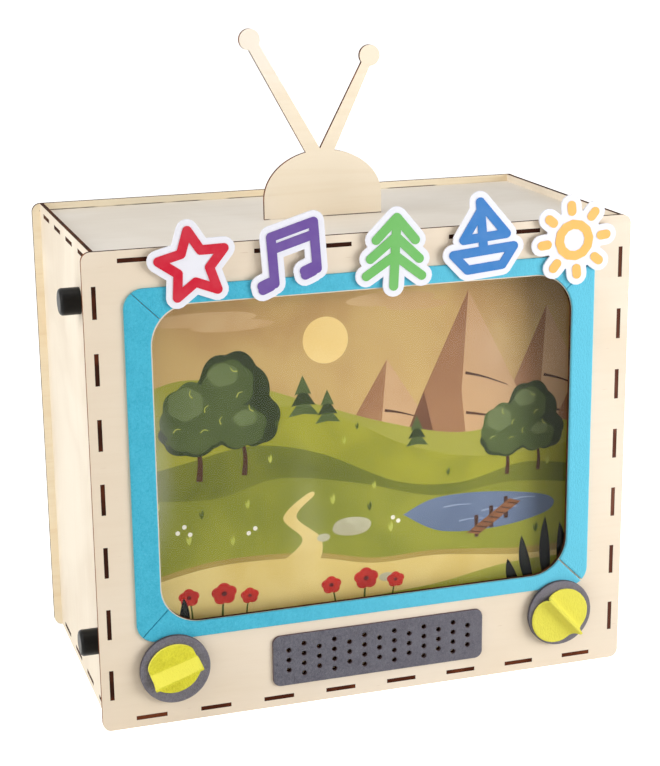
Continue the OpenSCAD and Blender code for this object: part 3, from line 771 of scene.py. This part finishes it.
# How far from the crest the lower lobe has moved by all of slip
SLIP_REACH = 6
GRIP_FUZZ, FUZZ_PITCH = 0.12, 2.6
GRIP_FRAY, GRIP_FRAY_PITCH = 0.12, 2.2
GRIP_STEP = 1.0
# Rings of the rim: how far in each lies, and its share of the way from the outer to the inner face
GRIP_RIM = ((0.6, 0.0), (0.18, 0.12), (0.0, 0.36), (0.0, 0.64), (0.18, 0.88), (0.6, 1.0))
PROFILE_STEPS = 600
OUTLINE_STEPS = 160
# A short way on the grip: the step of its slopes, and the least that is left of it at its two ends
SHORT = 0.05
# How far the inner face stays off the disc
CLEAR = 0.02


class Fold:
    """The felt's way across the ridge: u is the place across, had the ridge no lean, s the length along the
    felt and y the place along the ridge. r is the round's radius and part how much further out each lobe
    lies. crest is the ridge's length, halves and powers shape its lower and upper side, flare widens the
    upper side towards one end, and slip moves the lower lobe along the ridge."""

    def __init__(self, r, part, crest, lean, halves, powers, flare, slip, **_):
        self.r, self.part, self.crest, self.lean = r, part, crest, lean
        self.halves, self.powers, self.flare, self.slip = halves, powers, flare, slip
        self.us = np.linspace(-(r + part[0]), r + part[1], PROFILE_STEPS + 1)
        x, z = zip(*(self.profile(u, 0) for u in self.us))
        self.s = np.concatenate([[0], np.cumsum(np.hypot(np.diff(x), np.diff(z)))])
        self.s -= np.interp(0, self.us, self.s)

    def height(self, u, y=0.0):
        """The ridge's height as a share of the crest's."""
        upper = bool(u > 0)
        half = self.halves[upper] * (1 + self.flare * 2 * y / self.crest if upper else 1)
        return 1 / (1 + abs(u / half) ** self.powers[upper])

    def profile(self, u, y):
        h = self.height(u, y)
        return u - self.lean * h, GRIP_T + RIDGE_H * h

    def half_length(self, s):
        """Half the felt's length along the ridge: a round edge cut off straight, with an eased corner."""
        u = float(np.interp(s, self.s, self.us))

        def foot(at):
            a = math.sqrt(max(0.0, self.r ** 2 - (abs(at) - self.part[bool(at > 0)]) ** 2))
            b = self.crest / 2 - PINCH
            return (a + b - math.sqrt((a - b) ** 2 + CORNER_EASE ** 2)) / 2

        return max(SHORT, foot(u) + (self.crest / 2 - foot(0)) * self.height(u))

    def outline(self):
        """The flat felt's outline, as points of (s, y)."""
        ss = np.linspace(self.s[0] + SHORT, self.s[-1] - SHORT, OUTLINE_STEPS + 1)
        middles = self.slip * np.clip(-np.interp(ss, self.s, self.us) / SLIP_REACH, 0, 1)
        halves = [self.half_length(s) for s in ss]
        low = [Vector((s, m - h)) for s, m, h in zip(ss, middles, halves)]
        high = [Vector((s, m + h)) for s, m, h in zip(ss, middles, halves)]
        return resample_even(low + high[::-1], GRIP_STEP)

    def place(self, s, y, depth):
        """The point at s across and y along, from the felt's outer face, 0, to its inner face, 1."""
        u = float(np.interp(s, self.s, self.us))
        (x, z), (x0, z0), (x1, z1) = (self.profile(at, y) for at in (u, u - SHORT, u + SHORT))
        length = math.hypot(x1 - x0, z1 - z0)
        inner_x, inner_z = x + LAYER_T * (z1 - z0) / length, z - LAYER_T * (x1 - x0) / length
        side = 1 if s >= 0 else -1
        ridge_x = -self.lean * min(1.0, max(0.0, (inner_z - GRIP_T) / RIDGE_H))
        if side * (inner_x - ridge_x) < SLIT:
            inner_x = ridge_x + side * SLIT
        inner_z = max(inner_z, CLEAR)
        return x + (inner_x - x) * depth, y, z + (inner_z - z) * depth


def resample_even(loop, step):
    """Points an even step apart round a loop."""
    ends = loop[1:] + loop[:1]
    far = np.concatenate([[0], np.cumsum([(b - a).length for a, b in zip(loop, ends)])])
    count = round(far[-1] / step)
    want = np.arange(count) * far[-1] / count
    closed = loop + loop[:1]
    xs = np.interp(want, far, [p.x for p in closed])
    ys = np.interp(want, far, [p.y for p in closed])
    return [Vector(p) for p in zip(xs, ys)]


def felt_grip(side):
    """The folded felt on a dial's disc, turned and shifted to its place."""
    node, disc = side + "_dial_grip", side + "_dial_disc"
    sizes = GRIPS[side]
    fold = Fold(**sizes)
    loop = fold.outline()
    centre, disc_y = middle(disc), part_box(disc)[0].y
    shift_x, shift_z = sizes["shift"]
    c, s = math.cos(math.radians(sizes["angle"])), math.sin(math.radians(sizes["angle"]))

    def world(flat, depth):
        across, along, out = fold.place(flat.x, flat.y, depth)
        fuzz = noise.noise(Vector((flat.x, flat.y, depth * 3)) / FUZZ_PITCH) * GRIP_FUZZ * (1 - depth)
        x = shift_x + c * along - s * across
        z = shift_z + s * along + c * across
        return Vector((centre.x + x * MM, disc_y - max(0.0, out + fuzz) * MM, centre.z + z * MM))

    points, edges = join([loop])
    steps = inward(loop)
    frays = [GRIP_FRAY * (1 + noise.noise(Vector((p.x, p.y, 0.5)) / GRIP_FRAY_PITCH)) for p in points]
    verts, rings = [], []
    for inset, depth in GRIP_RIM:
        ring = [p + step * (inset + fray) for p, step, fray in zip(points, steps, frays)]
        rings.append(ring)
        verts += [world(p, depth) for p in ring]
    faces = wall(edges, len(points), len(rings))
    cover(verts, faces, [rings[0]], 0, lambda p: world(p, 0.0), GRIP_STEP)
    cover(verts, faces, [rings[-1]], (len(rings) - 1) * len(points), lambda p: world(p, 1.0), GRIP_STEP)
    obj = add_mesh(node + "_cloth", verts, faces, [YELLOW_FELT])
    finish_felt(obj, node, loop_area(loop) * MM * MM)


def make_felt():
    for part in ("left", "right", "top", "bottom"):
        felt_plate("felt_frame_" + part, BLUE_FELT)
    felt_plate("speaker_felt", SPEAKER_FELT)
    for side in ("left", "right"):
        felt_disc(side)
        felt_grip(side)


# Picture

# One flat sheet on the paper's front, cut into inked areas. Places on it are in mm, u from the paper's
# middle to the right and v from its lower end up.
PAPER_HALF = 172
PAPER_TOP = 246
PAPER_EDGE = [(-PAPER_HALF, 0), (PAPER_HALF, 0), (PAPER_HALF, PAPER_TOP), (-PAPER_HALF, PAPER_TOP)]
PRINT_LIFT = 0.05 * MM
# Points of the outlines nearer than this count as one
PRINT_NEAR = 1e-4


def spline(a, b, c, d, t):
    """The share t of the way from b to c, on the smooth curve that also passes a and d."""
    return 0.5 * (
        2 * b + (c - a) * t + (2 * a - 5 * b + 4 * c - d) * t * t + (3 * b - a - 3 * c + d) * t ** 3
    )


def smooth_line(points, per=7):
    """A smooth curve through the points."""
    pts = [points[0], *points, points[-1]]
    out = []
    for four in zip(pts, pts[1:], pts[2:], pts[3:]):
        out += [tuple(spline(*values, k / per) for values in zip(*four)) for k in range(per)]
    return out + [points[-1]]


def land(*crest):
    """Ground below a smooth skyline."""
    return smooth_line(crest) + [(crest[-1][0], -2), (crest[0][0], -2)]


def oval(u, v, w, h, lobes=0, depth=0.0, turn=0.0, n=36):
    """An ellipse, or a cloudy round with lobes."""
    out = []
    for k in range(n):
        a = math.tau * k / n
        r = 1 + depth * (abs(math.sin(lobes * a / 2 + turn)) - 0.6)
        out.append((u + w * r * math.cos(a), v + h * r * math.sin(a)))
    return out


def blade(u, v, length, width, angle, bend, n=9):
    """A leaf or blade from its foot at (u, v), pointed, bending to one side."""
    mid = []
    for k in range(n + 1):
        t = k / n
        a = math.radians(angle + bend * t)
        across = width * math.sin(math.pi * t) ** 0.8
        mid.append((u + length * t * math.cos(a), v + length * t * math.sin(a), across))
    a = math.radians(angle + 90)
    side = (math.cos(a), math.sin(a))
    left = [(x + side[0] * w / 2, y + side[1] * w / 2) for x, y, w in mid]
    right = [(x - side[0] * w / 2, y - side[1] * w / 2) for x, y, w in mid[1:-1]]
    return left + right[::-1]


def band(points, width, end_width=None):
    """A stroke along a smooth line, from one width to another."""
    line = smooth_line(points, 5)
    end_width = width if end_width is None else end_width
    left, right = [], []
    for k, p in enumerate(line):
        a, b = line[max(0, k - 1)], line[min(len(line) - 1, k + 1)]
        d = math.hypot(b[0] - a[0], b[1] - a[1])
        n = (-(b[1] - a[1]) / d, (b[0] - a[0]) / d)
        w = (width + (end_width - width) * k / (len(line) - 1)) / 2
        left.append((p[0] + n[0] * w, p[1] + n[1] * w))
        right.append((p[0] - n[0] * w, p[1] - n[1] * w))
    return left + right[::-1]


# Each ink's two tones and the size of their patches in metres
INKS = {
    "sky": (srgb(164, 128, 80), srgb(184, 154, 98), 0.05),
    "cloud": (srgb(197, 167, 122), srgb(180, 145, 98), 0.04),
    "sun": (srgb(223, 195, 131), srgb(214, 177, 102), 0.04),
    "rock_light": (srgb(192, 156, 116), srgb(177, 140, 100), 0.04),
    "rock": (srgb(153, 112, 78), srgb(136, 95, 65), 0.04),
    "rock_dark": (srgb(108, 71, 49), srgb(91, 58, 41), 0.03),
    "rock_seam": (srgb(78, 48, 33), srgb(69, 43, 31), 0.03),
    "far_hill": (srgb(156, 153, 65), srgb(140, 138, 51), 0.05),
    "hill": (srgb(151, 149, 45), srgb(130, 130, 35), 0.03),
    "hill_dark": (srgb(112, 115, 37), srgb(93, 99, 31), 0.03),
    "meadow": (srgb(140, 141, 49), srgb(119, 123, 39), 0.04),
    "meadow_light": (srgb(162, 160, 65), srgb(145, 145, 51), 0.04),
    "tree": (srgb(78, 91, 49), srgb(67, 80, 41), 0.03),
    "tree_light": (srgb(104, 115, 73), srgb(91, 104, 61), 0.03),
    "tree_dark": (srgb(48, 58, 27), srgb(39, 48, 24), 0.03),
    "trunk": (srgb(78, 50, 33), srgb(65, 41, 27), 0.02),
    "water": (srgb(102, 115, 139), srgb(86, 99, 123), 0.05),
    "water_line": (srgb(145, 156, 174), srgb(132, 145, 165), 0.02),
    "plank": (srgb(138, 91, 59), srgb(113, 73, 47), 0.01),
    "plank_dark": (srgb(73, 46, 33), srgb(61, 39, 29), 0.01),
    "path": (srgb(214, 192, 125), srgb(197, 171, 98), 0.05),
    "path_edge": (srgb(164, 140, 73), srgb(149, 126, 63), 0.03),
    "poppy": (srgb(190, 46, 33), srgb(160, 33, 27), 0.01),
    "poppy_dark": (srgb(97, 22, 24), srgb(82, 19, 20), 0.01),
    "reed": (srgb(28, 30, 27), srgb(19, 20, 20), 0.02),
    "reed_rib": (srgb(61, 65, 59), srgb(52, 56, 51), 0.02),
    "grass": (srgb(173, 175, 80), srgb(160, 164, 69), 0.02),
    "grass_dark": (srgb(78, 89, 35), srgb(67, 78, 31), 0.02),
    "stone": (srgb(182, 177, 149), srgb(164, 158, 129), 0.01),
    "blossom": (srgb(223, 218, 206), srgb(210, 203, 184), 0.01),
}
# Brightness of the printed grain, as a share of the second tone's
GRAIN_SHADE = 0.82


def printed_ink(name, a, b, patch):
    """Ink on paper: two near tones in soft patches, with a darker printed grain."""
    t = Finish("ink_" + name)
    at = t.place((0.3, 0.1, 0.2))
    soft = t.ramp(t.noise(at, 0.6 / patch, 3, 0.6, 0.4), 0.32, 0.68)
    grain = t.ramp(t.noise(at, 900, 3, 0.8), 0.3, 0.75, 0, 0.35)
    darker = tuple(v * GRAIN_SHADE for v in b[:3]) + (1,)
    t.set(Base_Color=t.mix(grain, t.mix(soft, a, b), darker), Roughness=0.6, Specular_IOR_Level=0.12)
    return t.material


# A cluster's crowns, back to front: ink, place and half sizes as shares of the cluster's size, number of
# lobes and their turn
CROWNS = (
    ("tree_dark", 0.2, 0.98, 0.48, 0.6, 7, 0.4),
    ("tree_dark", 0.5, 0.72, 0.3, 0.34, 6, 0.9),
    ("tree_dark", -0.3, 0.62, 0.42, 0.3, 7, 0.1),
    ("tree", -0.28, 0.8, 0.42, 0.44, 8, 1.1),
    ("tree", 0.3, 0.64, 0.32, 0.26, 6, 0.8),
    ("tree", 0.16, 1.16, 0.32, 0.32, 7, 0.2),
    ("tree_light", -0.38, 0.98, 0.22, 0.2, 6, 0.2),
    ("tree_light", 0.1, 1.3, 0.19, 0.14, 5, 0.5),
    ("tree_light", 0.36, 0.74, 0.15, 0.1, 5, 0.3),
)
# Its leaf strokes: place as a share of its size, and angle
LEAF_STROKES = ((-0.5, 0.66, 20), (-0.12, 0.9, 60), (-0.3, 1.1, 100), (0.3, 1.04, 40),
                (0.44, 0.86, 120), (0.06, 0.74, 80), (0.24, 1.36, 150), (-0.16, 0.62, 10))


def tree_cluster(u, v, size):
    """Round-headed trees: a dark mass behind, lighter crowns in front, two trunks and some leaf strokes."""
    for du, dv, top, width in ((-0.25, 0.0, 0.5, 0.085), (0.32, 0.02, 0.5, 0.075)):
        x, y = u + du * size, v + dv * size
        line = [(x, y), (x + 0.02 * size, v + 0.25 * size), (x - 0.01 * size, v + top * size)]
        yield "trunk", band(line, width * size, 0.5 * width * size)
    for ink, du, dv, w, h, lobes, turn in CROWNS:
        yield ink, oval(u + du * size, v + dv * size, w * size, h * size, lobes, 0.1, turn, n=48)
    for du, dv, turn in LEAF_STROKES:
        x, y = u + du * size, v + dv * size
        c, d = math.cos(math.radians(turn)) * 0.05 * size, math.sin(math.radians(turn)) * 0.05 * size
        line = [(x - c, y - d), (x - d * 0.5, y + c * 0.5), (x + c, y + d)]
        yield "grass", band(line, 0.016 * size, 0.008 * size)


def pine(u, v, height):
    for k, (w, low, top) in enumerate(((0.34, 0.12, 0.55), (0.27, 0.34, 0.78), (0.19, 0.58, 1.0))):
        yield ("tree_dark" if k % 2 else "tree"), [
            (u - w * height, v + low * height), (u, v + (low + 0.05) * height),
            (u + w * height, v + low * height), (u, v + top * height)]


def tuft(u, v, size, ink="grass"):
    for angle, part in ((112, 0.8), (92, 1.0), (70, 0.85)):
        yield ink, blade(u, v, size * part, size * 0.16, angle, 8 if angle < 90 else -8, 4)


def poppy(u, v, size, lean):
    top = (u + lean, v + 1.9 * size)
    yield "grass_dark", band([(u, v), (u + lean * 0.3, v + size), top], 0.16 * size, 0.12 * size)
    for angle in (20, 92, 164, 236, 308):
        a = math.radians(angle)
        yield "poppy", oval(top[0] + 0.42 * size * math.cos(a), top[1] + 0.36 * size * math.sin(a),
                            0.46 * size, 0.4 * size, n=16)
    yield "poppy_dark", oval(top[0], top[1], 0.2 * size, 0.18 * size, n=10)


def mountain(u, v, half, height):
    """A faceted peak lit from the right, with three seams of darker rock across it."""
    top = (u, v + height)
    yield "rock", [(u - half, v - 20), (u - 0.45 * half, v + 0.52 * height), top, (u + 0.1 * half, v - 20)]
    yield "rock_light", [(u + 0.02 * half, v - 20), (u - 0.08 * half, v + 0.5 * height), top,
                         (u + 0.5 * half, v + 0.46 * height), (u + half, v - 20)]
    yield "rock_dark", [(u - half, v - 20), (u - 0.45 * half, v + 0.52 * height),
                        (u - 0.36 * half, v + 0.3 * height), (u - 0.5 * half, v - 20)]
    for k in range(3):
        part = 0.16 + 0.2 * k
        reach = half * (1 - part) * 0.86
        line = [(u - 0.04 * half, v + (part + 0.03) * height), (u + 0.4 * reach, v + part * height),
                (u + reach, v + (part - 0.05) * height)]
        yield "rock_seam", band(line, 2.2, 0.6)


def sky_shapes():
    yield "sky", PAPER_EDGE
    yield "sun", oval(-22, 206, 17, 17, n=40)
    for u, v, w, h in ((-112, 228, 40, 5), (-90, 222, 30, 4), (28, 232, 34, 5), (48, 226, 24, 3.5)):
        yield "cloud", oval(u, v, w, h, n=40)


def hill_shapes():
    """Peaks, hills and their trees, each ground in front of the last."""
    for u, v, half, height in ((24, 96, 62, 92), (150, 90, 66, 128), (88, 84, 80, 150), (180, 84, 50, 92)):
        yield from mountain(u, v, half, height)
    yield "far_hill", land((-174, 172), (-130, 186), (-80, 178), (-30, 160), (20, 142), (80, 128),
                           (140, 134), (174, 126))
    yield "hill", land((-174, 160), (-120, 150), (-70, 162), (-20, 152), (40, 122), (100, 108), (174, 112))
    for u, v, height in ((-40, 148, 34), (-22, 142, 28), (46, 118, 26)):
        yield from pine(u, v, height)
    yield "hill_dark", land((-174, 118), (-130, 126), (-80, 134), (-30, 124), (30, 96), (80, 90),
                            (130, 100), (174, 94))
    yield from tree_cluster(-104, 112, 58)
    yield from tree_cluster(128, 92, 44)
    yield "meadow", land((-174, 104), (-110, 98), (-60, 108), (0, 98), (60, 82), (120, 86), (174, 80))


def pond_shapes():
    """A pond with a small landing stage."""
    yield "water", smooth_line([(34, 70), (60, 80), (104, 80), (150, 72), (150, 60), (110, 52), (64, 54),
                                (34, 70)])
    for u, v, w in ((66, 72, 22), (96, 66, 30), (122, 72, 18), (78, 60, 20)):
        yield "water_line", band([(u, v), (u + w / 2, v + 0.8), (u + w, v)], 1.1, 0.5)
    for u, v in ((92, 56), (104, 62), (116, 68)):
        yield "plank_dark", band([(u, v - 10), (u, v + 7)], 3.2)
    yield "plank", [(84, 50), (94, 48), (128, 70), (119, 73)]
    for k in range(7):
        yield "plank_dark", band([(86.5 + 5.2 * k, 51.4 + 3.1 * k), (95.5 + 5 * k, 49.4 + 3.1 * k)], 0.9)


def path_shapes():
    """A broad path, a narrow one that climbs from it, and the meadow and stones beside them."""
    yield "path_edge", smooth_line([(-174, 40), (-110, 52), (-40, 50), (10, 40), (60, 40), (120, 34),
                                    (174, 30), (174, -2), (60, -2), (-60, -2), (-174, 4), (-174, 40)])
    yield "path", smooth_line([(-174, 36), (-110, 48), (-40, 46), (10, 36), (60, 36), (120, 29), (174, 25),
                               (174, -2), (60, -2), (-60, -2), (-174, 8), (-174, 36)])
    yield "path", smooth_line([(-62, 44), (-44, 60), (-58, 78), (-40, 94), (-34, 93), (-48, 78), (-30, 60),
                               (-34, 42), (-62, 44)])
    yield "meadow_light", land((-30, -2), (10, 10), (60, 14), (110, 22), (150, 24), (174, 22))
    yield "stone", oval(-6, 66, 15, 7, 4, 0.05, 0.4)
    yield "stone", oval(-28, 60, 5, 3)
    yield "stone", oval(20, 24, 6, 3.4)


# Place and size of each grass tuft, place of each blossom, and place, size and lean of each poppy
TUFTS = ((-150, 92, 9), (-84, 88, 8), (-20, 84, 9), (12, 92, 7), (-128, 66, 9), (-96, 62, 8), (24, 58, 9),
         (-66, 120, 7), (-10, 128, 7), (150, 96, 7))
DARK_TUFTS = ((-140, 140, 7), (-60, 146, 6), (0, 138, 6), (70, 96, 7), (-118, 84, 8), (8, 76, 8),
              (140, 44, 9))
BLOSSOMS = ((-136, 76), (-131, 80), (-127, 74), (-84, 70), (-79, 73), (30, 66), (26, 69))
POPPIES = ((-20, 6, 9, -3), (2, 4, 11, 2), (24, 6, 8, 3), (-128, 10, 9, -2), (-106, 6, 11, 2),
           (-88, 8, 8, 3))
# Reeds: place across, length, leaf width, rib width, angle and bend
REEDS = ((138, 46, 9, 1.0, 112, -10), (150, 58, 9, 1.0, 98, -6), (160, 52, 9, 1.0, 82, 8),
         (128, 30, 9, 1.0, 130, -18), (-150, 40, 8, 0.9, 96, 6), (-160, 46, 8, 0.9, 84, 10),
         (-138, 30, 8, 0.9, 66, 16))


def plant_shapes():
    for u, v, size in TUFTS:
        yield from tuft(u, v, size)
    for u, v, size in DARK_TUFTS:
        yield from tuft(u, v, size, "grass_dark")
    for u, v in BLOSSOMS:
        yield "blossom", oval(u, v, 1.7, 1.7, n=10)
    for u, v, size, lean in POPPIES:
        yield from poppy(u, v, size, lean)
    for u, length, width, rib, angle, bend in REEDS:
        yield "reed", blade(u, -2, length, width, angle, bend)
        yield "reed_rib", blade(u, -2, length * 0.9, rib, angle, bend)


def picture_shapes():
    """The landscape, back to front: (ink, outline)."""
    for shapes in (sky_shapes, hill_shapes, pond_shapes, path_shapes, plant_shapes):
        yield from shapes()


def make_picture():
    """The print, which lies just in front of the paper between the two rollers."""
    lower, upper = middle("lower_dowel"), middle("upper_dowel")
    up = (upper - lower).normalized()
    out = Vector((0, -up.z, up.y))
    off = (lower.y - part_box("story_scroll")[0].y) / up.z + PRINT_LIFT

    shapes = list(picture_shapes())
    co, tris, middles, _ = triangulate([outline for _, outline in shapes], [], PRINT_NEAR)
    on_sheet = inside(middles, [PAPER_EDGE])
    names = list(INKS)
    inks = np.zeros(len(tris), int)
    for ink, outline in shapes:
        inks[inside(middles, [outline])] = names.index(ink)
    verts = [lower + out * off + Vector((1, 0, 0)) * (p.x * MM) + up * (p.y * MM) for p in co]
    faces = [t for t, ok in zip(tris, on_sheet) if ok]
    materials = [printed_ink(name, *INKS[name]) for name in names]
    obj = add_mesh("picture_print", verts, faces, materials, inks[on_sheet].tolist(), smooth=False)
    bm = bmesh.new()
    bm.from_mesh(obj.data)
    loose = [v for v in bm.verts if not v.link_faces]
    bmesh.ops.delete(bm, geom=loose, context="VERTS")
    bm.to_mesh(obj.data)
    bm.free()
    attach(obj, nodes["story_scroll"]["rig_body"])


dress_cabinet()
dress_badges()
make_felt()
make_picture()
make_studio()
make_camera()
